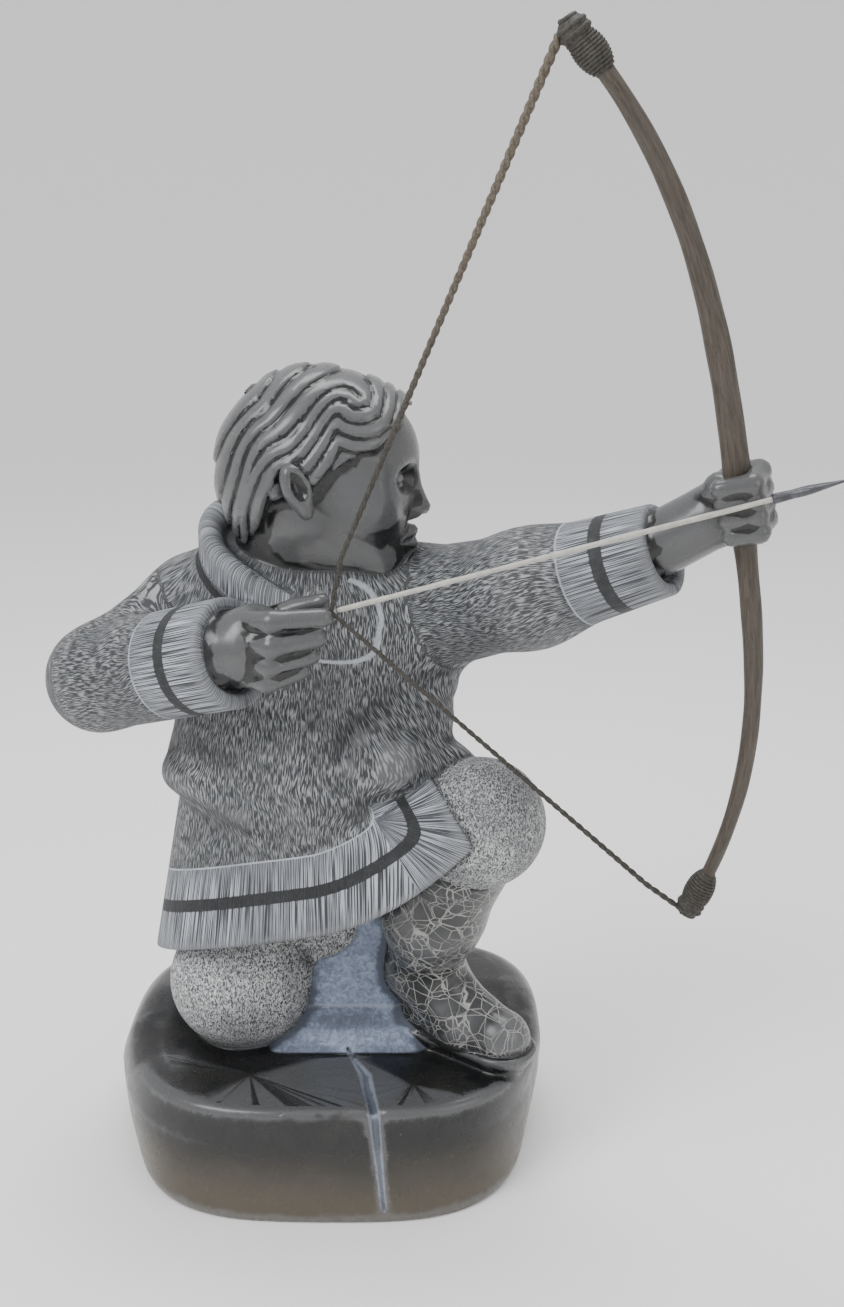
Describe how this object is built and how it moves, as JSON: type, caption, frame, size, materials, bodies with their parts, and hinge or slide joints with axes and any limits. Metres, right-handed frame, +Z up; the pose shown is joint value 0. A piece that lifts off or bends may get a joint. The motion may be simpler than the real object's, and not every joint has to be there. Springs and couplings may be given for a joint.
{
  "type": "carved archer figure",
  "caption": "Kneeling archer carved in dark stone on its own rounded base, drawing a separate bow with sinew string and bone arrow.",
  "frame": {"origin": "centre of the base's flat underside", "axes": "+Z up from the underside, +X the way the archer aims, -Y the way the chest faces"},
  "size_m": [0.3166, 0.1954, 0.4912],
  "materials": {
    "dark_stone": "polished black on head, hands and base, scribed grey on the clothes",
    "antler": "satin",
    "sinew": "matte, twisted",
    "bone": "satin",
    "dark_point": "satin"
  },
  "bodies": {
    "root": {"stone_archer": "dark_stone", "bow": "antler", "bowstring": "sinew", "arrow_shaft": "bone", "arrow_head": "dark_point"}
  },
  "joints": []
}
